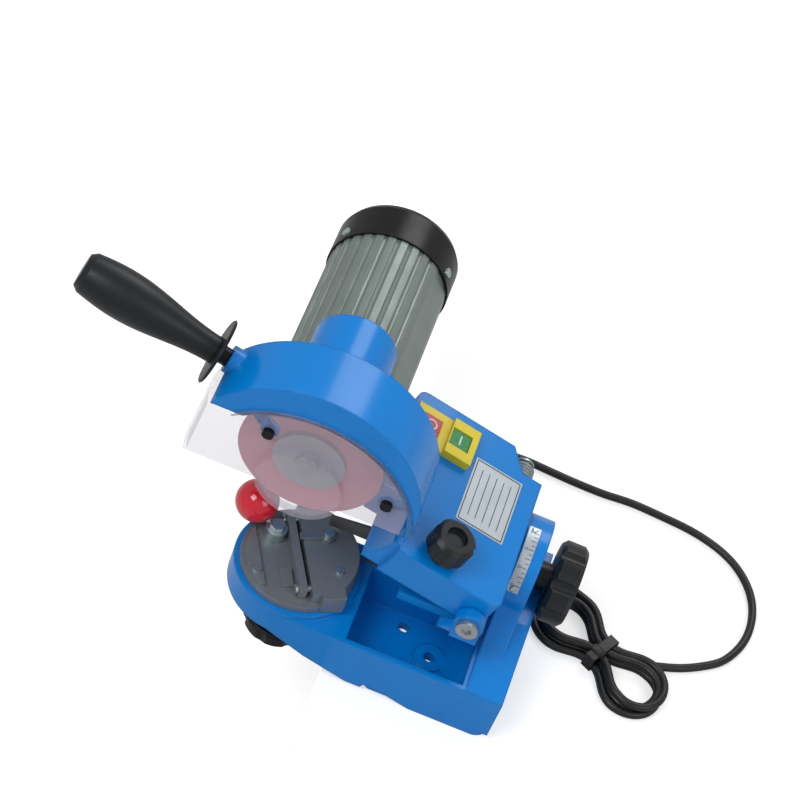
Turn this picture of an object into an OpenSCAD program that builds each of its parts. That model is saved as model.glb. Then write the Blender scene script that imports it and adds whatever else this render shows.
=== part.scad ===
// Bench grinder for saw chain: a spring-held arm swings a motor-driven disc
// down on a chain that a rotating vise holds. Millimetres, +Z up, +Y back.
// The origin is on the axis of the front bench-bolt hole, on the underside.

/* [Base] */
// Height of the casting's walls
base_h = 46; // [40:1:54]
// Wall thickness of the pan
base_wall = 4; // [3:0.5:6]
// Thickness of the pan floor
floor_t = 8; // [6:1:12]
// Front face of the casting, along Y
base_front = -43; // [-50:1:-38]
// Rear face of the casting, along Y
base_back = 100; // [94:1:112]
// Right-hand face of the casting, along X
base_right = 58; // [54:1:70]
// Diameter of each bench-bolt hole
bench_hole_d = 8.5; // [6:0.5:11]
// Rear bench hole from the front one, along X
bench_hole_dx = -24.5; // [-40:0.5:-22]
// Rear bench hole from the front one, along Y
bench_hole_dy = 18; // [16:0.5:20]

/* [Vise] */
// Vise axis from the front bench hole, along X
vise_x = -114; // [-120:1:-110]
// Vise axis and grinding plane, along Y
vise_y = 4; // [0:1:8]
// Radius of the round lobe that carries the vise
lobe_r = 47; // [45:1:52]
// Underside height of the lobe
lobe_z = 26; // [22:1:30]
// Thickness of the turntable disc
table_t = 6; // [5:0.5:9]
// Radius of the turntable disc
table_r = 43; // [38:1:44]
// Turntable angle as it stands
vise_angle = 27; // [0:1:35]
// Height of the jaws above the disc
jaw_h = 11; // [8:0.5:13]
// Length of the jaws
jaw_l = 78; // [66:1:82]
// Gap between the jaws, open
jaw_gap = 3.2; // [2.4:0.2:5]
// Diameter of the ball on the clamp lever
ball_d = 32; // [26:1:36]
// Diameter of the lock knob below the lobe
lock_knob_d = 50; // [40:1:60]
// Thickness of the lock knob's rim
lock_knob_t = 13; // [10:1:18]
// Drop of the lock knob below the lobe
lock_drop = 37; // [30:1:42]

/* [Tilt] */
// Height of the tilt axis
tilt_z = 72; // [70:1:74]
// Place of the tilt axis along Y
tilt_y = 60; // [58:1:62]
// Radius of the tower's round head
tower_r = 39.5; // [34:0.5:42]
// Inner face of the tower, along X
tower_x = 29.5; // [29:0.5:32]
// Thickness of the tower
tower_t = 18; // [14:1:22]
// Diameter of the tilt shaft
tilt_shaft_d = 16; // [12:1:20]
// Diameter of the tilt lock knob
tilt_knob_d = 62; // [50:1:70]
// Thickness of the tilt lock knob
tilt_knob_t = 20; // [14:1:26]

/* [Arm] */
// Hinge axis of the arm, along X
hinge_x = 13; // [10:1:15]
// Height of the hinge axis
hinge_z = 95; // [92:1:99]
// Angle of the raised arm
arm_angle = 14; // [8:1:16]
// Diameter of the hinge pin
pin_d = 10; // [8:1:12]
// Radius of the arm's hinge barrel
barrel_r = 11; // [9:0.5:12]
// Arm's top face above the hinge axis
arm_top = 22; // [18:1:26]
// Arm's lower edge below the hinge axis
arm_drop = 8; // [5:1:10]
// Front face of the arm and guard, along Y
arm_front = -18; // [-22:1:-16]
// Rear face of the arm's box, along Y
arm_back = 123; // [116:1:130]
// Wall thickness of the arm casting
arm_wall = 4; // [3:0.5:6]
// Disc axis left of the hinge axis
reach = 157.5; // [154:0.5:162]
// Disc axis above the hinge axis, arm level
rise = 33; // [28:1:38]

/* [Disc and motor] */
// Diameter of the grinding disc
wheel_d = 104; // [90:1:146]
// Thickness of the grinding disc
wheel_t = 3.2; // [2.8:0.1:4.8]
// Bore of the grinding disc
wheel_bore = 22.2; // [20:0.1:25.4]
// Outer radius of the guard
guard_r = 84; // [80:1:88]
// Depth of the blue half guard, along Y
guard_depth = 47; // [40:1:52]
// Diameter of the motor tube
motor_d = 90; // [80:1:96]
// Length of the motor tube
motor_l = 117; // [100:1:130]
// Length of the black fan cover
cover_l = 36; // [30:1:46]
// Length of the neck between guard and motor
neck_l = 40; // [34:1:46]
// Diameter of the motor spindle
spindle_d = 14; // [10:1:16]

/* [Handle and controls] */
// Length of the grip
grip_l = 104; // [90:1:140]
// Largest diameter of the grip
grip_d = 35; // [28:1:40]
// Diameter of the grip's guard disc
grip_disc_d = 49; // [42:1:60]
// Diameter of the handle stud
stud_d = 10; // [8:1:12]
// Diameter of the depth-stop knob
depth_knob_d = 32; // [26:1:38]
// Length of the switch frame
switch_l = 50; // [44:1:56]
// Width of the switch frame
switch_w = 33; // [30:1:40]
// Travel of each switch button
button_travel = 2.5; // [1.5:0.5:3]

/* [Cord] */
// Diameter of the mains cord
cord_d = 6.4; // [5:0.2:8]

/* [Hidden] */
$fn = 64;
fit = 0.05;
gap = 0.4;
blue = "#0083d7";
black = "#15181a";
zinc = "#aabebe";
steel = "#9aa3a6";
grey = "#5a6469";
motor_grey = "#828c87";
lobe_top = base_h + 4;
table_z = lobe_top + table_t;
jaw_z = table_z + jaw_h;
stud_r = 5;
pan_x0 = -62;
pan_x1 = 26.5;
pan_y1 = 29;
pan_slope = 17;
guard_y0 = arm_front;
guard_y1 = arm_front + guard_depth;
motor_y0 = guard_y1 + neck_l;
motor_y1 = motor_y0 + motor_l;
cover_y1 = motor_y1 + cover_l;
box_x0 = -100;
box_x1 = 10.5;
box_mid = 104;
neck_web_x = -130;
lug_t = 9;
lug_r = 11;
tower_x1 = tower_x + tower_t;
knob_x0 = base_right + 0.8;
boss_r = 29.5;
neck_r = 38;
flange_t = 8;
bearing_r = 16;
rotor_r = 21;
core_l = 60;
cover_r = motor_d / 2 + 1.5;
fan_r = cover_r - 8;
hub_r = 31;
guard_drop = 14;
guard_opening = guard_r * 0.27;
guard_screw_places = [[-31, 36], [60, 12]];
splash_y = pan_y1 + 2;
splash_z = 88;
nut_y = vise_y - wheel_t / 2 - 4;
handle_x0 = -reach - guard_r * 0.947;
handle_y = 18;
handle_z = rise + guard_r * 0.32;
handle_gap = 12;
depth_x = -43.5;
depth_y = -2;
swing = 12;
depth_tip = (gap - 13 + depth_x * sin(arm_angle - swing)) / cos(arm_angle - swing);
switch_x = -72.5;
switch_y = 93.5;
button_w = 15;
button_x = [-12, 12];
button_z = 2.6;
plate_x = -23.2;
plate_y = 64;
pin_y0 = arm_front - gap - lug_t - 0.2;
spring_turns = 5;
spring_y0 = box_mid + gap + lug_t + 0.3;
pin_y1 = spring_y0 + spring_turns * 2.8 + 6;
jaw_t = 5.5;
cam_r = 8;
cam_h = 8;
cam_x0 = jaw_gap / 2 + jaw_t + gap + cam_r;
cam_y0 = 21;
cam_z = table_z + 0.3;
lever_turn = 128;
lever_tilt = 57;
lever_l = 16.5;
pin_z = table_z + jaw_h / 2;
pin_places = [-jaw_l / 2 + 9, jaw_l / 2 - 9];
jaw_screw_places = [[24, -20], [-34, -12]];
stop_x = 20;
stop_y = 10;
knob_z0 = lobe_z - lock_drop - lock_knob_t;
hub_seat_r = 11;
gland_x = -58;
gland_z = 22;
gland_r = 8;
lead_route = [
    [-58, 104, 22], [-58, 116, 22], [-58, 130, 19], [-59, 143, 12], [-59, 157, 5.5], [-56, 172, 3.2],
    [-48, 188, 3.2], [-35, 202, 3.2], [-18, 212, 3.2], [1, 217, 3.2], [20, 219, 3.2], [41, 218, 3.2],
    [62, 217, 3.2], [86, 217, 3.2], [110, 219, 3.2], [134, 218, 3.2], [158, 216, 3.2], [176, 212, 3.2],
    [191, 206, 3.2], [204, 197, 3.2], [215, 184, 3.2], [222, 169, 3.2], [225, 152, 3.2], [224, 135, 3.2],
    [219, 119, 3.2], [210, 105, 3.2], [197, 94, 3.2], [182, 87, 3.2], [165, 84, 3.2], [148, 82, 3.2],
    [139, 76, 3.2]];
tail_route = [
    [100, 104, 9.8], [88, 109, 9], [75, 114, 7], [62, 118, 5], [50, 122, 5.5], [42, 127, 8], [34, 133, 12.5],
    [26, 138, 16.5], [18, 140, 18.2], [9, 140, 18.2]];
tail_end = [9, 140, 18.2];
hank_left = [88, 82];
hank_waist = [119, 65];
hank_right = [150, 48];
hank_r = 28;
hank_h = cord_d * 2.2;
tie_turn = -29;

// Runs a flat outline, drawn in X and Z, from y0 back to y1.
module slab_y(y0, y1) {
    translate([0, y1, 0]) rotate([90, 0, 0]) linear_extrude(y1 - y0) children();
}

// Runs a flat outline, drawn in Y and Z, from x0 right to x1.
module slab_x(x0, x1) {
    translate([x0, 0, 0]) rotate([90, 0, 90]) linear_extrude(x1 - x0) children();
}

module rod_y(r, y0, y1) {
    translate([0, y0, 0]) rotate([-90, 0, 0]) cylinder(r = r, h = y1 - y0);
}

module rod_x(r, x0, x1) {
    translate([x0, 0, 0]) rotate([0, 90, 0]) cylinder(r = r, h = x1 - x0);
}

// The arm's own frame: the hinge axis is its origin and the arm lies level in it.
module arm_frame() {
    translate([hinge_x, 0, hinge_z]) rotate([0, arm_angle, 0]) children();
}

// The disc's axis, with the frame's X and Z upright again.
module disc_frame() {
    arm_frame() translate([-reach, 0, rise]) rotate([0, -arm_angle, 0]) children();
}

// The vise's own frame, on its turning axis.
module vise_frame() {
    translate([vise_x, vise_y, 0]) rotate([0, 0, vise_angle]) children();
}

module rounded_box(x0, y0, x1, y1, r) {
    translate([x0 + r, y0]) square([x1 - x0 - 2 * r, y1 - y0]);
    translate([x0, y0 + r]) square([x1 - x0, y1 - y0 - 2 * r]);
    for (x = [x0 + r, x1 - r], y = [y0 + r, y1 - r]) translate([x, y]) circle(r);
}

// Outline of a hand knob with finger flutes cut in its rim.
module fluted_disc(r, n, flute) {
    difference() {
        circle(r);
        for (i = [0 : n - 1]) rotate(i * 360 / n) translate([r + flute * 0.55, 0]) circle(flute);
    }
}

// A hand knob that rises along +Z from its back face, with its edges chamfered.
module hand_knob(r, t, n, flute, bore) {
    c = t * 0.16;
    difference() {
        intersection() {
            linear_extrude(t) fluted_disc(r, n, flute);
            rotate_extrude() polygon([[0, 0], [r - c, 0], [r, c], [r, t - c], [r - c, t], [0, t]]);
        }
        translate([0, 0, t - t * 0.2]) cylinder(r = r * 0.5, h = t);
        translate([0, 0, -1]) cylinder(r = bore, h = t + 2);
    }
}

// ---- base ----

module base_underside() {
    slab_y(base_front - 20, base_back + 1) polygon([
        [-34, -1], [-34, 0], [-38, 3], [-52, 3], [-86, 12.5], [vise_x - 4, lobe_z],
        [vise_x - lobe_r - 1, lobe_z], [vise_x - lobe_r - 1, -1]]);
    slab_y(base_front - 1, base_front + base_wall - 0.5) polygon([
        [-2, -1], [-2, 0], [-20, 5], [-38, 7], [-40, 3], [-44, -1]]);
}

module base_casting() color(blue) difference() {
    union() {
        difference() {
            union() {
                linear_extrude(base_h) rounded_box(-72, base_front, base_right, base_back, 12);
                linear_extrude(base_h) translate([vise_x, base_front]) square([60, 2 * lobe_r - 6]);
            }
            slab_y(base_front + base_wall, pan_y1) polygon([
                [pan_x0, floor_t], [pan_x1 - pan_slope, floor_t], [pan_x1, base_h * 0.7],
                [pan_x1, base_h + 1], [pan_x0, base_h + 1]]);
        }
        translate([vise_x, vise_y, 0]) cylinder(r = lobe_r, h = lobe_top);
        cylinder(r = 12, h = floor_t + 2);
        slab_x(tower_x, base_right) polygon([
            [base_front, 6], [base_front, base_h], [-8, base_h + 6], [22, base_h + 12],
            [94, base_h + 12], [base_back, base_h], [base_back, 6]]);
        slab_x(tower_x, tower_x1) polygon([
            [-14, base_h], [tilt_y - tower_r, tilt_z], [tilt_y + tower_r, tilt_z], [base_back, base_h]]);
        translate([0, tilt_y, tilt_z]) rod_x(tower_r, tower_x, tower_x1);
    }
    base_underside();
    translate([0, 0, -1]) cylinder(d = bench_hole_d, h = floor_t + 4);
    translate([bench_hole_dx, bench_hole_dy, -1]) cylinder(d = bench_hole_d, h = floor_t + 2);
    translate([vise_x, vise_y, -1]) cylinder(r = stud_r + fit, h = lobe_top + 2);
    translate([vise_x, vise_y, -1]) cylinder(r = hub_seat_r + 1.5, h = lobe_z + 1);
    translate([0, tilt_y, tilt_z]) rod_x(tilt_shaft_d / 2 + fit, tower_x - 1, tower_x1 + 1);
    gland_hole();
}

// Hole in the rear wall that the cord gland is pressed into.
module gland_hole() {
    translate([gland_x, 0, gland_z]) rod_y(gland_r, base_back - 14, base_back + 1);
}

module scale_band(r0, r1, a0, a1, x0, x1) {
    translate([x0, tilt_y, tilt_z]) rotate([90, 0, 90]) rotate([0, 0, a0])
        rotate_extrude(angle = a1 - a0) translate([r0, 0]) square([r1 - r0, x1 - x0]);
}

module scale_plate() color("silver") difference() {
    scale_band(tower_r, tower_r + 1, 82, 158, tower_x + 0.8, tower_x + 9.5);
    for (a = [86, 154]) scale_rivet_place(a) cylinder(r = 1.5, h = 6, center = true);
}

module scale_rivet_place(a) {
    translate([tower_x + 5, tilt_y, tilt_z]) rotate([a - 90, 0, 0]) translate([0, 0, tower_r]) children();
}

module scale_rivets() color("silver") for (a = [86, 154]) scale_rivet_place(a) {
    translate([0, 0, 1]) cylinder(r1 = 2.4, r2 = 1.6, h = 1);
    cylinder(r = 1.5, h = 1);
}

// ---- tilt ----

module tilt_yoke() color(blue) difference() {
    union() {
        slab_x(hinge_x - 10, hinge_x + 10) polygon([
            [arm_front - gap - lug_t, hinge_z - 13], [arm_front - gap - lug_t, hinge_z - 17],
            [10, tilt_z - 10], [tilt_y, tilt_z - 14], [tilt_y + 26, tilt_z - 6],
            [box_mid + gap + lug_t, hinge_z - 16], [box_mid + gap + lug_t, hinge_z - 13]]);
        slab_x(hinge_x - 6, tower_x - gap) intersection() {
            translate([tilt_y, tilt_z]) circle(24);
            translate([tilt_y - 30, tilt_z - 30]) square([60, 30 + hinge_z - 13 - tilt_z]);
        }
        for (y = [arm_front - gap - lug_t, box_mid + gap]) {
            translate([hinge_x, 0, hinge_z]) rod_y(lug_r, y, y + lug_t);
            translate([hinge_x - 10, y, hinge_z - 15]) cube([20, lug_t, 15]);
        }
        slab_y(arm_front - gap - lug_t, arm_front - gap) polygon([
            [hinge_x - 21, hinge_z - 12], [hinge_x, hinge_z - 5], [hinge_x, hinge_z - 13]]);
            translate([hinge_x + depth_x - 10, depth_y - 9, hinge_z - 21]) cube([-depth_x + 6, 18, 8]);
    }
    translate([hinge_x, 0, hinge_z]) rod_y(pin_d / 2, arm_front - 20, box_mid + 20);
    translate([0, tilt_y, tilt_z]) rod_x(tilt_shaft_d / 2, hinge_x + 4, tower_x);
}

module tilt_shaft() color(steel) translate([0, tilt_y, tilt_z]) {
    rod_x(tilt_shaft_d / 2, hinge_x + 4, tower_x1 + 0.5);
    rod_x(tilt_shaft_d / 2 - 2, tower_x1 + 0.5, knob_x0 + tilt_knob_t * 0.72);
}

module tilt_washer() color(zinc) translate([0, tilt_y, tilt_z]) difference() {
    rod_x(13, tower_x1 + 0.05, tower_x1 + 1.6);
    rod_x(tilt_shaft_d / 2 - 2 + fit, tower_x1 - 1, tower_x1 + 3);
    rod_x(tilt_shaft_d / 2 + fit, tower_x1 - 1, tower_x1 + 0.6);
}

module tilt_lock_knob() color(black) translate([0, tilt_y, tilt_z]) difference() {
    union() {
        rod_x(10.5, tower_x1 + 2, knob_x0 + 1);
        translate([knob_x0, 0, 0]) rotate([0, 90, 0])
            hand_knob(tilt_knob_d / 2, tilt_knob_t, 8, 6, tilt_shaft_d / 2 - 2 + fit);
    }
    rod_x(tilt_shaft_d / 2 - 2 + fit, tower_x1, knob_x0 + tilt_knob_t);
}

// ---- arm ----

module arm_box() {
    translate([0, 0, -arm_drop]) linear_extrude(arm_top + arm_drop) difference() {
        rounded_box(box_x0, arm_front, box_x1, arm_back, 7);
        polygon([[-19, arm_back + 1], [-6.5, box_mid], [box_x1 + 1, box_mid], [box_x1 + 1, arm_back + 1]]);
    }
    rod_y(lug_r, arm_front, box_mid);
    translate([neck_web_x, guard_y1 - 2, -arm_drop])
        cube([box_x0 + 8 - neck_web_x, neck_l + 2, arm_top + arm_drop]);
    translate([handle_x0, handle_y, handle_z]) rod_x(stud_d / 2 + 5, -5, 14);
}

module arm_box_hollows() {
    translate([0, 0, -arm_drop - 1]) linear_extrude(arm_top + arm_drop + 1 - arm_wall)
        rounded_box(box_x0 + arm_wall, guard_y1 + 4, -15, arm_back - arm_wall, 5);
    rod_y(lug_r + 2, box_mid, arm_back + 1);
    translate([-15, box_mid, -24]) cube([30, arm_back, 24]);
    rod_y(pin_d / 2 + fit, arm_front - 1, box_mid + 1);
    translate([depth_x, depth_y, -arm_drop - 1]) cylinder(r = 4, h = arm_top + arm_drop + 2);
    translate([switch_x, switch_y, arm_top - 10])
        linear_extrude(20) square([switch_l - 6, switch_w - 6], center = true);
    translate([handle_x0, handle_y, handle_z]) rod_x(stud_d / 2, -6, 6);
}

// The part of the guard's drum that is cast with the arm.
module half_guard() {
    intersection() {
        rod_y(guard_r, guard_y0, guard_y1);
        slab_y(guard_y0 - 1, guard_y1 + 1) {
            translate([-guard_r - 1, guard_r * 0.46]) square([guard_r + 2, guard_r]);
            translate([0, -guard_drop - 8]) square([guard_r + 1, guard_r * 2]);
        }
    }
    rod_y(neck_r, guard_y1 - arm_wall, motor_y0);
    rod_y(motor_d / 2 + 2, motor_y0 - flange_t, motor_y0);
    translate([0, 0, guard_r - boss_r - 1]) rod_y(boss_r, guard_y1 - 1, motor_y0 - flange_t / 2);
}

module guard_hollows() {
    rod_y(guard_r - arm_wall, guard_y0 + 3, guard_y1 - arm_wall);
    translate([0, 0, -guard_opening]) rod_y(guard_r - arm_wall, guard_y0 - 1, guard_y0 + 4);
    rod_y(spindle_d / 2 + 2, guard_y1 - 10, motor_y0 + 1);
    rod_y(bearing_r, guard_y1 + 14, motor_y0 + 1);
    flange_screw_places() rod_y(2.5, motor_y0 - flange_t - 1, motor_y0 + 1);
}

module flange_screw_places() {
    for (a = [24, 156, 204, 336]) rotate([0, -a, 0]) translate([motor_d / 2 - 3.5, 0, 0]) children();
}

// Ears that reach in from the drum's rim and carry the clear guard's screws.
module guard_ears() {
    slab_y(guard_y0, guard_y0 + 2.6) for (p = guard_screw_places) translate(p) {
        circle(6.5);
        rotate(atan2(p[1], p[0])) translate([0, -5]) square([guard_r - 2 - norm(p), 10]);
    }
}

module arm_casting() color(blue) {
    difference() {
        union() {
            arm_frame() arm_box();
            disc_frame() half_guard();
        }
        arm_frame() arm_box_hollows();
        disc_frame() guard_hollows();
    }
    disc_frame() difference() {
        guard_ears();
        for (p = guard_screw_places) translate([p[0], 0, p[1]]) rod_y(2, guard_y0 - 1, guard_y0 + 6);
    }
}

module hinge_pin() color(steel) translate([hinge_x, 0, hinge_z]) {
    rod_y(pin_d / 2, pin_y0, pin_y1);
    difference() {
        rod_y(pin_d / 2 + 3, pin_y0 - 4, pin_y0);
        rotate([0, 20, 0]) slab_y(pin_y0 - 5, pin_y0 - 1.5) circle(4, $fn = 6);
    }
}

module pin_clip() color(zinc) translate([hinge_x, 0, hinge_z]) difference() {
    rod_y(pin_d / 2 + 2.5, pin_y1 - 2.5, pin_y1 - 1);
    rod_y(pin_d / 2, pin_y1 - 4, pin_y1);
}

// Points of one ring of the spring's wire, at angle a along the coil.
function wire_ring(r, w, y, a) = [for (k = [0 : 7])
    let (c = r + w * cos(k * 45)) [c * cos(a), y + w * sin(k * 45), c * sin(a)]];

module return_spring() color(steel) translate([hinge_x, 0, hinge_z]) {
    rings = spring_turns * 12;
    pts = [for (i = [0 : rings]) each wire_ring(
        pin_d / 2 + 3, 1.2, spring_y0 + 1.3 + i / rings * spring_turns * 2.8, i * 30)];
    polyhedron(pts, concat(
        [[for (k = [0 : 7]) k]],
        [for (i = [0 : rings - 1], k = [0 : 7])
            [i * 8 + k, i * 8 + 8 + k, i * 8 + 8 + (k + 1) % 8, i * 8 + (k + 1) % 8]],
        [[for (k = [7 : -1 : 0]) rings * 8 + k]]));
}

module depth_screw() color(black) arm_frame() translate([depth_x, depth_y, 0]) {
    translate([0, 0, depth_tip]) cylinder(r = 4 - fit, h = arm_top + 4 - depth_tip);
    translate([0, 0, arm_top + gap]) cylinder(r = depth_knob_d * 0.3, h = 6);
    translate([0, 0, arm_top + 5]) hand_knob(depth_knob_d / 2, 20, 7, 4, 0.01);
}

module handle_stud() color(black) arm_frame() translate([handle_x0, handle_y, handle_z]) {
    rod_x(stud_d / 2, -handle_gap - 16, 5);
    rod_x(stud_d / 2 + 1.5, -handle_gap, -5);
}

module handle_disc() color(black) arm_frame() translate([handle_x0 - handle_gap - 3, handle_y, handle_z])
    rotate([0, 90, 0]) difference() {
        rotate_extrude() polygon([[0, 0], [grip_disc_d / 2 - 1, 0.4], [grip_disc_d / 2, 1.5],
            [grip_disc_d / 2 - 1, 2.6], [0, 3]]);
        translate([0, 0, -1]) cylinder(d = stud_d, h = 5);
    }

module handle_grip() color(black) arm_frame() translate([handle_x0 - handle_gap - 3, handle_y, handle_z])
    rotate([0, -90, 0]) difference() {
        rotate_extrude() polygon(concat([[0, 0]],
            [for (t = [0 : 0.05 : 1]) [grip_d * (0.28 + 0.22 * pow(sin(t * 125), 2)), t * (grip_l - 4)]],
            [[grip_d * 0.34, grip_l], [0, grip_l]]));
        translate([0, 0, -1]) cylinder(d = stud_d, h = 14);
    }

module switch_frame() color("gold") arm_frame() translate([switch_x, switch_y, arm_top]) difference() {
    union() {
        linear_extrude(3) square([switch_l, switch_w], center = true);
        translate([3, -switch_w / 2, 0]) linear_extrude(7) square([switch_l / 2 - 3, switch_w]);
        translate([0, 0, -9.8]) linear_extrude(10) square([switch_l - 6.4, switch_w - 6.4], center = true);
    }
    for (x = button_x) translate([x, 0, -button_z - button_travel - 0.6])
        linear_extrude(20) square(button_w + 2 * gap, center = true);
}

module push_button(x, z) arm_frame() translate([switch_x + x, switch_y, arm_top])
    translate([0, 0, -button_z]) linear_extrude(z + button_z) square(button_w, center = true);

module stop_button() color("#b0303a") push_button(button_x[0], 5.6);

module start_button() color("#238c4b") push_button(button_x[1], 6.2);

module rating_plate() color("silver") arm_frame() translate([plate_x, plate_y, arm_top])
    linear_extrude(0.5) square([39, 60], center = true);

// ---- guard, disc and motor ----

module clear_guard() color("#b9c6cc", 0.4) disc_frame() difference() {
    union() {
        intersection() {
            rod_y(guard_r, guard_y0 - 2, guard_y1 - 4);
            union() {
                intersection() {
                    translate([-guard_r, guard_y0 - 3, -guard_drop]) cube([guard_r * 1.9, 3, guard_r * 2]);
                    translate([0, 0, -guard_opening]) rod_y(guard_r - arm_wall + 4, guard_y0 - 4, guard_y0 + 1);
                }
                translate([-guard_r, guard_y0 - 3, -guard_drop])
                    cube([guard_r, 3, guard_r * 0.46 + guard_drop - gap]);
                translate([-guard_r - 1, guard_y0 - 1, -guard_drop])
                    cube([guard_r, guard_depth + 2, guard_r * 0.46 + guard_drop - gap]);
            }
        }
        rod_y(hub_r, guard_y0 - 8, guard_y0);
    }
    rod_y(guard_r - 2, guard_y0, guard_y1);
    rod_y(hub_r - 2, guard_y0 - 6, guard_y0 + 1);
    rotate([0, arm_angle, 0]) translate([handle_x0 + reach, handle_y, handle_z - rise])
        rod_x(stud_d / 2 + 5 + gap, -8, 15);
    for (p = guard_screw_places) translate([p[0], 0, p[1]]) rod_y(2.2, guard_y0 - 3, guard_y0 + 1);
}

module guard_screws() color(black) disc_frame() for (p = guard_screw_places) translate([p[0], 0, p[1]]) {
    rod_y(4.2, guard_y0 - 5.5, guard_y0 - 2);
    rod_y(2, guard_y0 - 2, guard_y0 + 6);
}

module splash_plate() color("#8d8a88") difference() {
    union() {
        slab_y(splash_y, splash_y + 2) polygon([
            [-72, base_h], [-46, base_h], [-46, splash_z], [-104, splash_z - 8],
            [-104, jaw_z + 3], [-72, jaw_z + 3]]);
        translate([-72, splash_y, base_h]) cube([25, 12, 2]);
    }
    for (x = [-66, -53]) translate([x, splash_y + 7, base_h - 1]) cylinder(r = 2, h = 5);
}

module motor_tube() color(motor_grey) disc_frame() difference() {
    union() {
        slab_y(motor_y0, motor_y1) difference() {
            circle(motor_d / 2);
            for (a = [56 : 12 : 344]) rotate(a) translate([motor_d / 2 + 0.6, 0]) circle(2.2, $fn = 8);
            rotate(30) translate([motor_d / 2 - 1.6, -40]) square([10, 80]);
        }
        rod_y(motor_d / 2 - 1.2, motor_y1, motor_y1 + 10);
    }
    rod_y(motor_d / 2 - 9, motor_y0 - 1, motor_y1 - 12);
    rod_y(bearing_r - 2, motor_y1 - 13, motor_y1);
    rod_y(spindle_d / 2 + 1, motor_y1 - 1, motor_y1 + 11);
    flange_screw_places() rod_y(2, motor_y0 - 1, motor_y0 + 14);
    cover_screw_places() cylinder(r = 1.6, h = 30, center = true);
}

module cover_screw_places() {
    for (a = [33, 147, 213, 327]) rotate([0, -a, 0])
        translate([motor_d / 2, motor_y1 + 6, 0]) rotate([0, 90, 0]) children();
}

module flange_screws() color(black) disc_frame() flange_screw_places() {
    rod_y(3.2, motor_y0 - flange_t - 4, motor_y0 - flange_t);
    rod_y(2, motor_y0 - flange_t, motor_y0 + 12);
}

module stator() color("#7a5a38") disc_frame() difference() {
    rod_y(motor_d / 2 - 9, motor_y0 + 20, motor_y0 + 20 + core_l);
    rod_y(rotor_r + 0.6, motor_y0 + 19, motor_y0 + 21 + core_l);
}

module bearing(r, y0, y1) difference() {
    rod_y(r, y0, y1);
    rod_y(spindle_d / 2 + fit, y0 - 1, y1 + 1);
    for (y = [y0 - 1, y1 - 0.8]) difference() {
        rod_y(r - 3, y, y + 1.8);
        rod_y(spindle_d / 2 + 3, y - 1, y + 3);
    }
}

module front_bearing() color(steel) disc_frame() bearing(bearing_r, guard_y1 + 14, guard_y1 + 24);

module rear_bearing() color(steel) disc_frame() bearing(bearing_r - 2, motor_y1 - 12, motor_y1 - 2);

module fan_cover() color(black) disc_frame() difference() {
    rotate([-90, 0, 0]) translate([0, 0, motor_y1]) rotate_extrude() polygon([
        [motor_d / 2 - 1, 0], [cover_r, 0], [cover_r, cover_l - 7], [cover_r - 2, cover_l - 2.5],
        [cover_r - 7, cover_l], [0, cover_l], [0, cover_l - 2.5], [cover_r - 8, cover_l - 2.5],
        [cover_r - 2.5, cover_l - 7], [cover_r - 2.5, 11], [motor_d / 2 - 1, 11]]);
    slab_y(cover_y1 - 4, cover_y1 + 1) for (i = [0 : 11], r = [15, 27])
        rotate(i * 30) translate([r, 0]) square([9, 3.4], center = true);
    cover_screw_places() cylinder(r = 1.6, h = 30, center = true);
}

module cover_screws() color("silver") disc_frame() cover_screw_places() {
    translate([0, 0, cover_r - motor_d / 2]) cylinder(r = 3.6, h = 1.8);
    translate([0, 0, -6]) cylinder(r = 1.6, h = 6 + cover_r - motor_d / 2);
}

module spindle() color(steel) disc_frame() {
    rod_y(spindle_d / 2 - 1, nut_y - 6, vise_y + wheel_t / 2 + 7);
    rod_y(spindle_d / 2, vise_y + wheel_t / 2 + 7, motor_y1 + 24);
}

module rotor() color("#6c7072") disc_frame() difference() {
    rod_y(rotor_r, motor_y0 + 20, motor_y0 + 20 + core_l);
    rod_y(spindle_d / 2, motor_y0 + 19, motor_y0 + 21 + core_l);
}

module cooling_fan() color("#202428") disc_frame() difference() {
    union() {
        rod_y(12, motor_y1 + 12, motor_y1 + 24);
        rod_y(fan_r, motor_y1 + 12, motor_y1 + 14);
        for (i = [0 : 8]) rotate([0, i * 40, 0]) translate([10, motor_y1 + 13, -1]) cube([fan_r - 10, 11, 2]);
    }
    rod_y(spindle_d / 2, motor_y1 + 11, motor_y1 + 25);
}

module inner_flange() color(steel) disc_frame() difference() {
    union() {
        rod_y(26, vise_y + wheel_t / 2, vise_y + wheel_t / 2 + 6);
        rod_y(wheel_bore / 2, vise_y - wheel_t / 2 + 0.3, vise_y + wheel_t / 2);
    }
    rod_y(spindle_d / 2 - 1, vise_y - 10, vise_y + 20);
    rod_y(21, vise_y + wheel_t / 2 + 3, vise_y + wheel_t / 2 + 7);
}

module grinding_disc() color("#d9a3a8") disc_frame() difference() {
    rod_y(wheel_d / 2, vise_y - wheel_t / 2, vise_y + wheel_t / 2);
    rod_y(wheel_bore / 2, vise_y - wheel_t, vise_y + wheel_t);
}

module outer_flange() color(steel) disc_frame() difference() {
    rod_y(26, nut_y, vise_y - wheel_t / 2);
    rod_y(spindle_d / 2 - 1, nut_y - 1, vise_y);
}

module spindle_nut() color(steel) disc_frame() difference() {
    slab_y(nut_y - 5, nut_y) circle(9, $fn = 6);
    rod_y(spindle_d / 2 - 1, nut_y - 6, nut_y + 1);
}

// ---- vise ----

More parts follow.
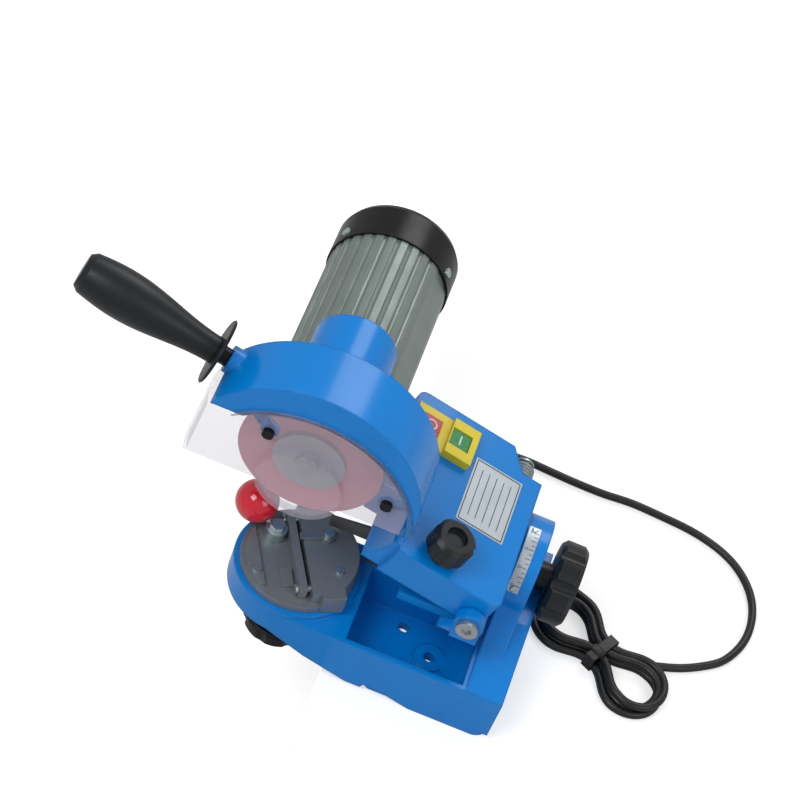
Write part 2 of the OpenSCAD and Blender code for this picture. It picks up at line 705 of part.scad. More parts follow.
module turntable() color(grey) vise_frame() difference() {
    union() {
        translate([0, 0, lobe_top + 0.3]) cylinder(r = table_r, h = table_t - 0.3);
        translate([0, 0, table_z - 1]) linear_extrude(jaw_h + 1) intersection() {
            circle(table_r - 1.5);
            translate([jaw_gap / 2, -jaw_l / 2]) square([table_r, jaw_l]);
        }
        translate([jaw_gap / 2 + 7, -jaw_l / 2 - 4, lobe_top + 0.3])
            cube([17, 16, table_t + jaw_h - 0.3]);
        translate([0, 0, table_z - 1]) linear_extrude(4) intersection() {
            circle(table_r - 3);
            translate([-table_r, -24]) square([table_r - cam_x0 - 14, 60]);
        }
        translate([-jaw_gap / 2 - jaw_t - 10, -26, table_z - 1]) cube([8.5, 16, 3.5]);
    }
    translate([0, 0, lobe_top - 1]) cylinder(r = stud_r, h = table_t);
    for (y = pin_places) translate([0, y, pin_z]) rod_x(2.5, 0, 16);
    translate([-cam_x0, cam_y0, lobe_top + 1]) cylinder(r = 3, h = 20);
    for (p = jaw_screw_places) translate([p[0], p[1], table_z - 2]) cylinder(r = 1.6, h = jaw_h + 6);
    translate([stop_x, stop_y, jaw_z - 8]) cylinder(r = 2, h = 10);
}

module moving_jaw() color("#4d565b") vise_frame() difference() {
    translate([-jaw_gap / 2 - jaw_t, -jaw_l / 2 + 4, table_z + 0.3]) cube([jaw_t, jaw_l - 8, jaw_h - 0.3]);
    for (y = pin_places) translate([0, y, pin_z]) rod_x(2.5 + fit, -20, 0);
}

module guide_pins() color("silver") vise_frame() for (y = pin_places) translate([0, y, pin_z]) {
    rod_x(2.5, -jaw_gap / 2 - jaw_t - 0.3, 14);
    rod_x(3.4, -jaw_gap / 2 - jaw_t - 2.3, -jaw_gap / 2 - jaw_t - 0.3);
}

module lever_frame() {
    vise_frame() translate([-cam_x0, cam_y0, cam_z + cam_h * 0.2]) rotate([0, 0, lever_turn])
        rotate([0, lever_tilt, 0]) children();
}

module cam_lever() color(zinc) difference() {
    union() {
        vise_frame() translate([-cam_x0, cam_y0, cam_z]) cylinder(r = cam_r, h = cam_h);
        lever_frame() cylinder(r = 2.4, h = lever_l);
    }
    vise_frame() translate([-cam_x0, cam_y0, cam_z - 1]) cylinder(r = 3 + fit, h = cam_h + 10);
}

module lever_ball() color("#dc1932") lever_frame() difference() {
    translate([0, 0, lever_l - 6 + ball_d / 2]) sphere(d = ball_d);
    cylinder(r = 2.4, h = lever_l);
}

module jaw_screws() color("silver") vise_frame() {
    translate([-cam_x0, cam_y0, 0]) {
        translate([0, 0, lobe_top + 1]) cylinder(r = 3, h = cam_z + cam_h + 0.3 - lobe_top - 1);
        translate([0, 0, cam_z + cam_h + 0.3]) cylinder(r = 5.5, h = 3.6, $fn = 6);
    }
    for (p = jaw_screw_places) {
        z = p[0] > 0 ? jaw_z : table_z + 3;
        translate([p[0], p[1], table_z - 1]) cylinder(r = 1.6, h = z - table_z + 1);
        translate([p[0], p[1], z]) cylinder(r = 3, h = 1.8);
    }
}

module chain_stop() color(steel) vise_frame() translate([stop_x, stop_y, jaw_z + 0.3]) difference() {
    union() {
        cylinder(r = 5, h = 3);
        translate([-stop_x - 1, -2.5, 0]) cube([stop_x, 5, 3]);
    }
    translate([0, 0, -1]) cylinder(r = 2 + fit, h = 6);
}

module stop_screw() color("silver") vise_frame() translate([stop_x, stop_y, 0]) {
    translate([0, 0, jaw_z - 7]) cylinder(r = 2, h = 10.6);
    translate([0, 0, jaw_z + 3.6]) cylinder(r = 3.6, h = 3);
}

module lock_stud() color(steel) vise_frame() {
    translate([0, 0, knob_z0 + 2]) cylinder(r = stud_r, h = lobe_top + table_t - 1 - knob_z0 - 2);
}

module vise_lock_knob() color(black) translate([vise_x, vise_y, 0]) difference() {
    union() {
        translate([0, 0, knob_z0]) hand_knob(lock_knob_d / 2, lock_knob_t, 7, 5, 0.01);
        translate([0, 0, knob_z0 + lock_knob_t * 0.7]) cylinder(r = hub_seat_r, h = lobe_z - gap - knob_z0 - lock_knob_t * 0.7);
    }
    translate([0, 0, knob_z0 + 2]) cylinder(r = stud_r + fit, h = 80);
}

// ---- cord ----

module cord_gland() color(black) translate([gland_x, 0, gland_z]) difference() {
    union() {
        rod_y(gland_r, base_back - 14, base_back);
        rod_y(gland_r + 3, base_back, base_back + 4);
        rod_y(gland_r - 2, base_back + 4, base_back + 16);
    }
    rod_y(cord_d / 2, base_back - 2, base_back + 17);
}

function unit(v) = v / norm(v);

// Direction of a route at point i.
function heading(p, i) = unit(p[min(i + 1, len(p) - 1)] - p[max(i - 1, 0)]);

// A round tube swept along a route of points.
module sweep(p, d, n) {
    rings = [for (i = [0 : len(p) - 1])
        let (t = heading(p, i), s = unit(cross(t, [0, 0, 1])), u = cross(s, t))
        each [for (k = [0 : n - 1]) p[i] + d / 2 * (cos(k * 360 / n) * s + sin(k * 360 / n) * u)]];
    polyhedron(rings, concat(
        [[for (k = [n - 1 : -1 : 0]) k]],
        [for (i = [0 : len(p) - 2], k = [0 : n - 1])
            [i * n + k, i * n + (k + 1) % n, i * n + n + (k + 1) % n, i * n + n + k]],
        [[for (k = [0 : n - 1]) (len(p) - 1) * n + k]]));
}

module cord_lead() color(black) sweep(lead_route, cord_d, 10);

module cord_tail() color(black) sweep(tail_route, cord_d, 10);

module hank_outline() {
    hull() {
        translate(hank_left) circle(hank_r, $fn = 32);
        translate(hank_waist) circle(13, $fn = 32);
    }
    hull() {
        translate(hank_waist) circle(13, $fn = 32);
        translate(hank_right) circle(hank_r, $fn = 32);
    }
}

module cord_hank() color(black) linear_extrude(hank_h) hank_outline();

module cord_tie() color(black) difference() {
    translate(hank_waist) rotate([0, 0, tie_turn]) translate([-5, -16, 0]) cube([10, 32, hank_h + 2]);
    translate([0, 0, -1]) linear_extrude(hank_h + 1) hank_outline();
}

module plug_body() color(black) translate([tail_end[0], tail_end[1], tail_end[2]]) rotate([0, -90, 0]) {
    cylinder(r1 = 6, r2 = 9, h = 18);
    translate([0, 0, 18]) cylinder(r = 18, h = 24);
}

module plug_pins() color("silver") translate([tail_end[0] - 42, tail_end[1], tail_end[2]]) rotate([0, -90, 0])
    for (y = [-9.5, 9.5]) translate([0, y, 0]) cylinder(r = 2.4, h = 19);

base_casting();
scale_plate();
scale_rivets();
tilt_yoke();
tilt_shaft();
tilt_washer();
tilt_lock_knob();
arm_casting();
hinge_pin();
pin_clip();
return_spring();
depth_screw();
handle_stud();
handle_disc();
handle_grip();
switch_frame();
stop_button();
start_button();
rating_plate();
clear_guard();
guard_screws();
splash_plate();
motor_tube();
stator();
front_bearing();
rear_bearing();
fan_cover();
cover_screws();
flange_screws();
spindle();
rotor();
cooling_fan();
inner_flange();
grinding_disc();
outer_flange();
spindle_nut();
turntable();
moving_jaw();
guide_pins();
cam_lever();
lever_ball();
jaw_screws();
chain_stop();
stop_screw();
lock_stud();
vise_lock_knob();
cord_gland();
cord_lead();
cord_hank();
cord_tie();
cord_tail();
plug_body();
plug_pins();
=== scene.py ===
# Saw-chain grinder: finishes, cord, markings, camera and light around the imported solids.
import math

import bpy
from mathutils import Matrix, Vector


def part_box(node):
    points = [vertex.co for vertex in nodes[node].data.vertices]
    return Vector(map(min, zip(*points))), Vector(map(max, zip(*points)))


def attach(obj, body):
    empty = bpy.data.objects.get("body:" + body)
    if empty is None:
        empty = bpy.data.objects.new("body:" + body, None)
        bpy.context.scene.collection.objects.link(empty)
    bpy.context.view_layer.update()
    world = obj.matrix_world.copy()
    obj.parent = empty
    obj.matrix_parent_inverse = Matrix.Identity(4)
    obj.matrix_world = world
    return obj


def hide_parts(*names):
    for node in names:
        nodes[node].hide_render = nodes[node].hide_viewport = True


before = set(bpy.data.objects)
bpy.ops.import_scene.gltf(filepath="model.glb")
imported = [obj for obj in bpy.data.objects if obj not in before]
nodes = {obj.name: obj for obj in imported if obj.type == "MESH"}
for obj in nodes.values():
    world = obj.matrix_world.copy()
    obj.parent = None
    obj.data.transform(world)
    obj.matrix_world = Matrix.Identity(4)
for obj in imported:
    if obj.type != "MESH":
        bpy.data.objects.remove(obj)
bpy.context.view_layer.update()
scene = bpy.context.scene
mm = 0.001
print("frame loaded:", len(nodes), "nodes")

smoothAngle = math.radians(40)  # faces that meet at less than this shade as one surface

# the swinging arm's hinge, in millimetres, and how far the arm stands above level at rest
armHinge = (13, 0, 95)
armAngle = math.radians(14)
armPlace = Matrix.Translation([v * mm for v in armHinge]) @ Matrix.Rotation(armAngle, 4, "Y")


def linearColour(hexCode, alpha=1.0):
    parts = [int(hexCode[i:i + 2], 16) / 255 for i in (1, 3, 5)]
    return [c / 12.92 if c <= 0.04045 else ((c + 0.055) / 1.055) ** 2.4 for c in parts] + [alpha]


def addNode(tree, kind, settings=None, values=None, links=None):
    node = tree.nodes.new(kind)
    for name, value in (settings or {}).items():
        setattr(node, name, value)
    for name, value in (values or {}).items():
        node.inputs[name].default_value = value
    for name, socket in (links or {}).items():
        tree.links.new(socket, node.inputs[name])
    return node


def clearSelection():
    bpy.ops.object.select_all(action="DESELECT")


def selectOnly(piece):
    clearSelection()
    piece.select_set(True)
    bpy.context.view_layer.objects.active = piece


def faceOutwards():
    # in edit mode: turns every face of the mesh to the outside
    bpy.ops.mesh.select_all(action="SELECT")
    bpy.ops.mesh.normals_make_consistent(inside=False)


def settle(piece):
    # bakes place, turn and size into the mesh, so the object itself sits at the origin
    selectOnly(piece)
    bpy.ops.object.transform_apply(location=True, rotation=True, scale=True)


def joinPieces(pieces, name):
    clearSelection()
    for piece in pieces:
        piece.select_set(True)
    bpy.context.view_layer.objects.active = pieces[0]
    if len(pieces) > 1:
        bpy.ops.object.join()
    pieces[0].name = name
    return pieces[0]


def roundEdges(piece, width, segments=2, angle=35):
    selectOnly(piece)
    bevel = piece.modifiers.new("edges", "BEVEL")
    bevel.width = width
    bevel.segments = segments
    bevel.limit_method = "ANGLE"
    bevel.angle_limit = math.radians(angle)
    bpy.ops.object.modifier_apply(modifier="edges")
    bpy.ops.object.shade_smooth_by_angle(angle=smoothAngle)


def finishPiece(piece, material, body):
    piece.data.materials.clear()
    piece.data.materials.append(material)
    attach(piece, body)
    return piece


# colour and shade are the two tones that drift over the piece, patch is the size of that drift, grain
# the size of the bump, depth how deep it is and edge the worn corner's radius, all in millimetres;
# rough runs between its two values with the drift, and alpha under 1 lets light straight through
finishes = {
    # stoved enamel on a die casting: wet gloss over a faint orange peel
    "enamelBlue": dict(colour="#0080d6", shade="#0076c6", patch=45, rough=(0.20, 0.30), metal=0.0,
                       grain=1.6, depth=0.008, coat=0.15, edge=2.5, shine=0.30),
    # moulded nylon: dull black with a fine spark-eroded grain
    "nylonBlack": dict(colour="#101214", shade="#0b0c0e", patch=18, rough=(0.26, 0.38), metal=0.0,
                       grain=0.7, depth=0.008, coat=0.0, edge=0.8, shine=0.28),
    # grip and knobs: smoother moulding that catches a broad highlight
    "gripBlack": dict(colour="#1a1e22", shade="#131518", patch=26, rough=(0.30, 0.42), metal=0.0,
                      grain=1.1, depth=0.008, coat=0.0, edge=0.8, shine=0.35),
    # black oxide on steel screws: near black with a dull metal glint
    "oxideBlack": dict(colour="#1c1d1f", shade="#2a2b2d", patch=3, rough=(0.30, 0.42), metal=0.8,
                       grain=0.4, depth=0.006, coat=0.0, edge=0.3),
    # moulded ABS of the switch: clean even colour with a light gloss
    "absYellow": dict(colour="#e1cd1e", shade="#d6c018", patch=15, rough=(0.26, 0.36), metal=0.0,
                      grain=0.6, depth=0.010, coat=0.1, edge=0.7),
    "absRed": dict(colour="#b8303a", shade="#a8242e", patch=9, rough=(0.24, 0.32), metal=0.0,
                   grain=0.5, depth=0.006, coat=0.2, edge=0.7),
    "absGreen": dict(colour="#238c4b", shade="#1c7c41", patch=9, rough=(0.24, 0.32), metal=0.0,
                     grain=0.5, depth=0.006, coat=0.2, edge=0.7),
    "absWhite": dict(colour="#eef0f0", shade="#e4e6e6", patch=9, rough=(0.30, 0.36), metal=0.0,
                     grain=0.5, depth=0.004, coat=0.0, edge=0.2),
    # cast phenolic ball: deep red and polished
    "phenolicRed": dict(colour="#dc1932", shade="#c8122a", patch=22, rough=(0.08, 0.14), metal=0.0,
                        grain=3.0, depth=0.004, coat=0.6, edge=0.2),
    # bright zinc plate: cool and slightly cloudy
    "zincBright": dict(colour="#b9c8c8", shade="#a9b6b8", patch=6, rough=(0.26, 0.36), metal=0.85,
                       grain=0.8, depth=0.001, coat=0.0, edge=0.4),
    # turned or ground steel: pale, hard and slightly uneven in its shine
    "steelTurned": dict(colour="#b0b5b8", shade="#a1a6a9", patch=12, rough=(0.28, 0.38), metal=0.85,
                        grain=0.5, depth=0.001, coat=0.0, edge=0.4),
    # rolled anodised aluminium strip: near white and satin, so that dark marks read on it
    "aluminiumSatin": dict(colour="#bcc4ca", shade="#aeb6bc", patch=20, rough=(0.34, 0.44), metal=0.5,
                           grain=0.5, depth=0.001, coat=0.0, edge=0.3),
    # grey paint on the extruded motor body: thin and a little metallic, so each rib catches light
    "motorGrey": dict(colour="#838d89", shade="#747e7a", patch=30, rough=(0.32, 0.46), metal=0.35,
                      grain=0.9, depth=0.008, coat=0.1, edge=0.9),
    # pickled sheet steel: brownish grey, a dark mirror that is slightly cloudy
    "sheetPickled": dict(colour="#8d8a88", shade="#7d7a77", patch=14, rough=(0.36, 0.52), metal=0.75,
                         grain=0.8, depth=0.002, coat=0.0, edge=0.4),
    # sand-cast alloy with a machined top: coarse and dark
    "castGrey": dict(colour="#899096", shade="#737a80", patch=9, rough=(0.36, 0.54), metal=0.5,
                     grain=1.3, depth=0.022, coat=0.0, edge=0.7),
    # stacked laminations and windings inside the motor: brownish, grainy and half dull
    "lamination": dict(colour="#6c5a48", shade="#57493b", patch=4, rough=(0.45, 0.60), metal=0.6,
                       grain=0.6, depth=0.03, coat=0.0, edge=0.3),
    # bonded aluminium oxide: pink grit of about 0.25 mm, drawn at 0.6 mm so that it shows
    "abrasivePink": dict(colour="#d98f98", shade="#c77a85", patch=0.9, rough=(0.78, 0.92), metal=0.0,
                         grain=0.6, depth=0.12, coat=0.0, edge=0.3),
    # PVC jacket of the mains lead: black with a soft even sheen
    "pvcBlack": dict(colour="#1a1b1d", shade="#141517", patch=20, rough=(0.34, 0.46), metal=0.0,
                     grain=1.0, depth=0.01, coat=0.0, edge=0.3),
    # nickel plate on the plug pins: warm and bright
    "nickel": dict(colour="#c9c6b8", shade="#b3b0a4", patch=4, rough=(0.16, 0.26), metal=1.0,
                   grain=0.6, depth=0.004, coat=0.0, edge=0.4),
    # thin clear polycarbonate: mostly see-through, a cool tint and a crisp highlight
    "polycarbonateClear": dict(colour="#cfc8d6", shade="#c3bdcb", patch=40, rough=(0.10, 0.16), metal=0.0,
                               grain=6, depth=0.004, coat=0.2, edge=0.8, alpha=0.24),
    # painted highlight: the clear sheet's edge is drawn whiter and less clear than the sheet, standing in for
    # the light it gathers
    "polycarbonateEdgeHighlight": dict(colour="#dfe3e8", shade="#cfd4da", patch=20, rough=(0.12, 0.20), metal=0.0,
                              grain=4, depth=0.004, coat=0.3, edge=0.4, alpha=0.55),
}
# what the finishes share: noise detail, the stretch of the drift that roughness follows, and the coat;
# shine is the specular level of a finish that names none of its own
finishBase = dict(driftDetail=3.0, grainDetail=2.0, driftLow=0.3, driftHigh=0.7, cornerSamples=4,
                  coatRough=0.06, shine=0.4)


def buildFinish(name, spec):
    material = bpy.data.materials.new(name)
    material.use_nodes = True
    tree = material.node_tree
    shader = tree.nodes["Principled BSDF"]
    coords = addNode(tree, "ShaderNodeTexCoord")
    drift = addNode(tree, "ShaderNodeTexNoise", {},
                    {"Scale": 1 / (spec["patch"] * mm), "Detail": finishBase["driftDetail"]},
                    {"Vector": coords.outputs["Object"]})
    tone = addNode(tree, "ShaderNodeMix", {"data_type": "RGBA"})
    for socket in tone.inputs:
        if socket.type == "RGBA" and socket.name == "A":
            socket.default_value = linearColour(spec["colour"])
        if socket.type == "RGBA" and socket.name == "B":
            socket.default_value = linearColour(spec["shade"])
    tree.links.new(drift.outputs["Fac"], tone.inputs[0])
    tree.links.new([o for o in tone.outputs if o.type == "RGBA"][0], shader.inputs["Base Color"])
    grain = addNode(tree, "ShaderNodeTexNoise", {},
                    {"Scale": 1 / (spec["grain"] * mm), "Detail": finishBase["grainDetail"]},
                    {"Vector": coords.outputs["Object"]})
    gloss = addNode(tree, "ShaderNodeMapRange", {},
                    {"From Min": finishBase["driftLow"], "From Max": finishBase["driftHigh"],
                     "To Min": spec["rough"][0], "To Max": spec["rough"][1]},
                    {"Value": drift.outputs["Fac"]})
    tree.links.new(gloss.outputs["Result"], shader.inputs["Roughness"])
    corner = addNode(tree, "ShaderNodeBevel", {"samples": finishBase["cornerSamples"]},
                     {"Radius": spec["edge"] * mm})
    bump = addNode(tree, "ShaderNodeBump", {}, {"Strength": 1.0, "Distance": spec["depth"] * mm},
                   {"Height": grain.outputs["Fac"], "Normal": corner.outputs["Normal"]})
    tree.links.new(bump.outputs["Normal"], shader.inputs["Normal"])
    shader.inputs["Metallic"].default_value = spec["metal"]
    shader.inputs["Coat Weight"].default_value = spec["coat"]
    shader.inputs["Coat Roughness"].default_value = finishBase["coatRough"]
    shader.inputs["Specular IOR Level"].default_value = spec.get("shine", finishBase["shine"])
    if "alpha" in spec:
        shader.inputs["Alpha"].default_value = spec["alpha"]
    return material


made = {name: buildFinish(name, spec) for name, spec in finishes.items()}
print("finishes made:", len(made))

finishOf = {
    "enamelBlue": ["base_casting", "tilt_yoke", "arm_casting"],
    "nylonBlack": ["fan_cover", "vise_lock_knob", "cooling_fan", "plug_body", "cord_gland"],
    "gripBlack": ["tilt_lock_knob", "depth_screw", "handle_disc", "handle_grip"],
    "oxideBlack": ["handle_stud", "guard_screws", "flange_screws"],
    "absYellow": ["switch_frame"],
    "absRed": ["stop_button"],
    "absGreen": ["start_button"],
    "phenolicRed": ["lever_ball"],
    "zincBright": ["tilt_washer", "pin_clip", "cam_lever", "jaw_screws", "stop_screw", "guide_pins",
                   "cover_screws", "scale_rivets"],
    "steelTurned": ["tilt_shaft", "hinge_pin", "return_spring", "lock_stud", "spindle", "inner_flange",
                    "outer_flange", "spindle_nut", "front_bearing", "rear_bearing", "chain_stop"],
    "aluminiumSatin": ["scale_plate", "rating_plate"],
    "motorGrey": ["motor_tube"],
    "sheetPickled": ["splash_plate"],
    "castGrey": ["turntable", "moving_jaw"],
    "lamination": ["stator", "rotor"],
    "abrasivePink": ["grinding_disc"],
    "pvcBlack": ["cord_lead", "cord_hank", "cord_tie", "cord_tail"],
    "nickel": ["plug_pins"],
    "polycarbonateClear": ["clear_guard"],
}
for finishName, nodeNames in finishOf.items():
    for nodeName in nodeNames:
        for materialSlot in nodes[nodeName].material_slots:
            materialSlot.link = "OBJECT"
            materialSlot.material = made[finishName]
print("nodes dressed")

# a long lens that looks down on the front and leans to one side, in metres and degrees; the sensor in mm
camera = dict(distance=1.8, focus=(-0.0899, 0.1091, 0.1359), elevation=48.0, roll=22.0,
              spanAtFocus=0.5754, sensor=36)


def addCamera(spec):
    data = bpy.data.cameras.new("camera")
    thing = bpy.data.objects.new("camera", data)
    scene.collection.objects.link(thing)
    tilt = math.radians(spec["elevation"])
    look = Vector((0, math.cos(tilt), -math.sin(tilt)))
    thing.location = Vector(spec["focus"]) - look * spec["distance"]
    turn = look.to_track_quat("-Z", "Y").to_matrix() @ Matrix.Rotation(math.radians(spec["roll"]), 3, "Z")
    thing.rotation_euler = turn.to_euler()
    data.sensor_width = spec["sensor"]
    data.sensor_height = spec["sensor"]
    data.lens = spec["sensor"] * spec["distance"] / spec["spanAtFocus"]
    scene.camera = thing


addCamera(camera)
print("camera placed")


def turnedPiece(name, rings, sides=32):
    # a disc is drawn up along +Z through rings of (radius, height) in millimetres
    clearSelection()
    bpy.ops.mesh.primitive_circle_add(vertices=sides, radius=rings[0][0] * mm, fill_type="NGON",
                                      location=(0, 0, rings[0][1] * mm))
    piece = bpy.context.object
    piece.name = name
    settle(piece)
    bpy.ops.object.mode_set(mode="EDIT")
    bpy.ops.mesh.select_all(action="SELECT")
    for (radius, height), (nextRadius, nextHeight) in zip(rings, rings[1:]):
        step = (nextHeight - height) * mm
        bpy.ops.mesh.extrude_region_move(TRANSFORM_OT_translate={"value": (0, 0, step)})
        grow = nextRadius / radius
        bpy.ops.transform.resize(value=(grow, grow, 1), center_override=(0, 0, nextHeight * mm))
    faceOutwards()
    bpy.ops.object.mode_set(mode="OBJECT")
    return piece


def putPiece(piece, place, turn=(0, 0, 0)):
    piece.location = [v * mm for v in place]
    piece.rotation_euler = [math.radians(v) for v in turn]
    settle(piece)
    bpy.ops.object.shade_smooth_by_angle(angle=smoothAngle)


# ribbed nylon sleeve at the gland that keeps the lead from kinking: shank into the casting, flange, ribs
strainRelief = dict(x=-58, z=22, length=21, shankRadius=7.9, shankDepth=16, flangeRadius=10.5, flangeDepth=4,
                    flangeEdge=0.8, pastFlange=12, baseRadius=6.8, tipRadius=4.7, mouthRadius=3.4,
                    ribs=7, ribDepth=0.9)


def addStrainRelief(spec):
    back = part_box("cord_gland")[1][1] / mm - spec["pastFlange"]  # the flange's outer face
    flange, edge = spec["flangeRadius"], spec["flangeEdge"]
    rings = [(spec["shankRadius"], -spec["shankDepth"]), (spec["shankRadius"], -spec["flangeDepth"]),
             (flange, -spec["flangeDepth"]), (flange, -edge), (flange - edge, 0), (spec["baseRadius"], 0.1)]
    length = spec["length"]
    pitch = (length - 2) / spec["ribs"]  # a plain millimetre is left at each end of the ribs
    for rib in range(spec["ribs"]):
        low = 1 + rib * pitch
        radius = spec["baseRadius"] + (spec["tipRadius"] - spec["baseRadius"]) * rib / spec["ribs"]
        groove = radius - spec["ribDepth"]
        rings += [(radius, low), (radius, low + pitch * 0.55), (groove, low + pitch * 0.6),
                  (groove, low + pitch * 0.95)]
    tip = spec["tipRadius"]
    rings += [(tip, length - 1), (tip, length - 0.4), (spec["mouthRadius"], length)]
    relief = turnedPiece("strain_relief", rings)
    putPiece(relief, (spec["x"], back, spec["z"]), (-90, 0, 0))
    finishPiece(relief, made["nylonBlack"], "base")
    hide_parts("cord_gland")
    print("strain relief turned, flange at", round(back, 1))


addStrainRelief(strainRelief)

# round plug at the cord's loose end: a ribbed neck, then the body as (radius, height) from the cord's end
mainsPlug = dict(tail=(9, 140, 18.2), sides=48, mouthRadius=3.6,
                 neckRibs=4, neckRadius=5.9, neckGrow=0.7, neckPitch=4.0, neckGroove=0.9,
                 body=[(8.6, 17.0), (9.4, 18.2), (12.5, 18.8), (15.8, 20.2), (17.4, 22.4), (18, 25.5),
                       (18, 30), (17.3, 31), (17.3, 33), (18, 34), (18, 40.8), (17.3, 41.8), (15.6, 42),
                       (15.2, 40.6), (2, 40.6)])


def addMainsPlug(spec):
    rings = [(spec["mouthRadius"], 0), (5.6, 0.3)]
    for rib in range(spec["neckRibs"]):
        low = 0.8 + rib * spec["neckPitch"]
        radius = spec["neckRadius"] + rib * spec["neckGrow"]
        groove = radius - spec["neckGroove"]
        rings += [(radius, low), (radius, low + 2.2), (groove, low + 2.5), (groove, low + 3.8)]
    plug = turnedPiece("mains_plug", rings + spec["body"], spec["sides"])
    putPiece(plug, spec["tail"], (0, -90, 0))
    finishPiece(plug, made["pvcBlack"], "base")
    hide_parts("plug_body")
    print("plug turned")
    return plug


plugPiece = addMainsPlug(mainsPlug)

# nylon strap round the hank's waist: a box with open ends, and a buckle sunk a little into its top
cordTie = dict(centre=(119, 65), turn=-29, halfWidth=14.4, low=0.05, high=14.2, breadth=9, wall=1.1,
               boxEdge=0.1, edge=0.35, buckle=(11.25, 7, 2.4), buckleAside=0.35, buckleSunk=0.4)


def addCordTie(spec):
    clearSelection()
    middle = (spec["low"] + spec["high"]) / 2
    bpy.ops.mesh.primitive_cube_add(size=1)
    strap = bpy.context.object
    strap.name = "cord_strap"
    strap.scale = (spec["breadth"] * mm, spec["halfWidth"] * 2 * mm, (spec["high"] - spec["low"]) * mm)
    settle(strap)
    roundEdges(strap, spec["boxEdge"] * mm, 1)
    bpy.ops.object.mode_set(mode="EDIT")
    bpy.ops.mesh.select_all(action="DESELECT")
    bpy.ops.object.mode_set(mode="OBJECT")
    for face in strap.data.polygons:
        face.select = abs(face.normal.x) > 0.9  # the two ends, which the strands pass through
    bpy.ops.object.mode_set(mode="EDIT")
    bpy.ops.mesh.delete(type="FACE")
    faceOutwards()
    bpy.ops.object.mode_set(mode="OBJECT")
    wall = strap.modifiers.new("wall", "SOLIDIFY")
    wall.thickness = spec["wall"] * mm
    wall.offset = -1
    bpy.ops.object.modifier_apply(modifier="wall")
    aside = -spec["halfWidth"] * spec["buckleAside"] * mm
    bpy.ops.mesh.primitive_cube_add(size=1, location=(0, aside, (spec["high"] / 2 - spec["buckleSunk"]) * mm))
    buckle = bpy.context.object
    buckle.scale = [v * mm for v in spec["buckle"]]
    settle(buckle)
    strap = joinPieces([strap, buckle], "cord_strap")
    roundEdges(strap, spec["edge"] * mm, 2, 50)
    putPiece(strap, (*spec["centre"], middle), (0, 0, spec["turn"]))
    finishPiece(strap, made["nylonBlack"], "base")
    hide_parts("cord_tie")
    print("tie made")
    return strap


tiePiece = addCordTie(cordTie)

# a pale band along the clear sheet's upper edge, where it laps over the cast rim, drawn whiter and less clear
# than the sheet as a painted highlight on that rim. It is flat, with no thickness; the disc's centre is given
# along the raised arm, and the guard itself stands level
guardEdge = dict(discCentre=(-157.5, 0, 33), frontFace=-20.0, drop=22.7, radius=83.6, bead=0.9,
                 fromAngle=8, toAngle=134, sides=10, steps=56)


def addGuardEdge(spec):
    clearSelection()
    bpy.ops.mesh.primitive_circle_add(vertices=spec["sides"], radius=spec["bead"] * mm,
                                      location=(spec["radius"] * mm, 0, 0), rotation=(math.radians(90), 0, 0))
    bead = bpy.context.object
    bead.name = "guard_bead"
    settle(bead)
    bpy.ops.object.mode_set(mode="EDIT")
    bpy.ops.mesh.select_all(action="SELECT")
    sweep = math.radians(spec["toAngle"] - spec["fromAngle"])
    bpy.ops.mesh.spin(steps=spec["steps"], angle=sweep, center=(0, 0, 0), axis=(0, 1, 0))
    bpy.ops.mesh.select_all(action="SELECT")
    bpy.ops.mesh.edge_face_add()
    faceOutwards()
    bpy.ops.object.mode_set(mode="OBJECT")
    discPlace = (armPlace @ Matrix.Translation([v * mm for v in spec["discCentre"]])
                 @ Matrix.Rotation(-armAngle, 4, "Y"))
    bead.matrix_world = (discPlace @ Matrix.Translation((0, spec["frontFace"] * mm, -spec["drop"] * mm))
                         @ Matrix.Rotation(math.radians(-spec["fromAngle"]), 4, "Y"))
    settle(bead)
    bpy.ops.object.shade_smooth()
    finishPiece(bead, made["polycarbonateEdgeHighlight"], "arm")
    print("guard bead made")


addGuardEdge(guardEdge)

# the mains lead: out of the gland, down to the bench, round to a tied hank, then on to the plug;
# the hank runs between two folds and narrows to its waist, outer and inner strands in two layers
cord = dict(
    diameter=6.4 * mm,
    lead=[(-58, 104, 22), (-58, 116, 22), (-58, 124, 21.3), (-58.3, 132, 18), (-59, 143, 12),
          (-59, 157, 5.5), (-56, 172, 3.2), (-48, 188, 3.2), (-35, 202, 3.2), (-18, 212, 3.2),
          (1, 217, 3.2), (20, 219, 3.2), (41, 218, 3.2), (62, 217, 3.2), (86, 217, 3.2),
          (110, 219, 3.2), (134, 218, 3.2), (158, 216, 3.2), (176, 212, 3.2), (191, 206, 3.2),
          (204, 197, 3.2), (215, 184, 3.2), (222, 169, 3.2), (225, 152, 3.2), (224, 135, 3.2),
          (219, 119, 3.2), (210, 104, 3.2), (197, 93, 3.2), (182, 83.8, 3.2), (167, 77.6, 3.2),
          (155, 73.8, 3.2)],
    tail=[(88, 109, 9), (75, 114, 7), (62, 118, 5), (50, 122, 5.5), (42, 127, 8),
          (34, 133, 12.5), (26, 138, 16.5), (18, 140, 18.2), (9, 140, 18.2)],
    leftFold=(88, 82), rightFold=(150, 48),
    outerFold=24.7, innerFold=18.2, outerWaist=9.75, innerWaist=3.25,
    layers=(3.3, 9.8),
    joinsAt=0.5,  # how far along its half the first strand takes the lead, from the waist to the fold
    strandSteps=12, foldSteps=12, routeStep=3.0, roundSteps=4,
)


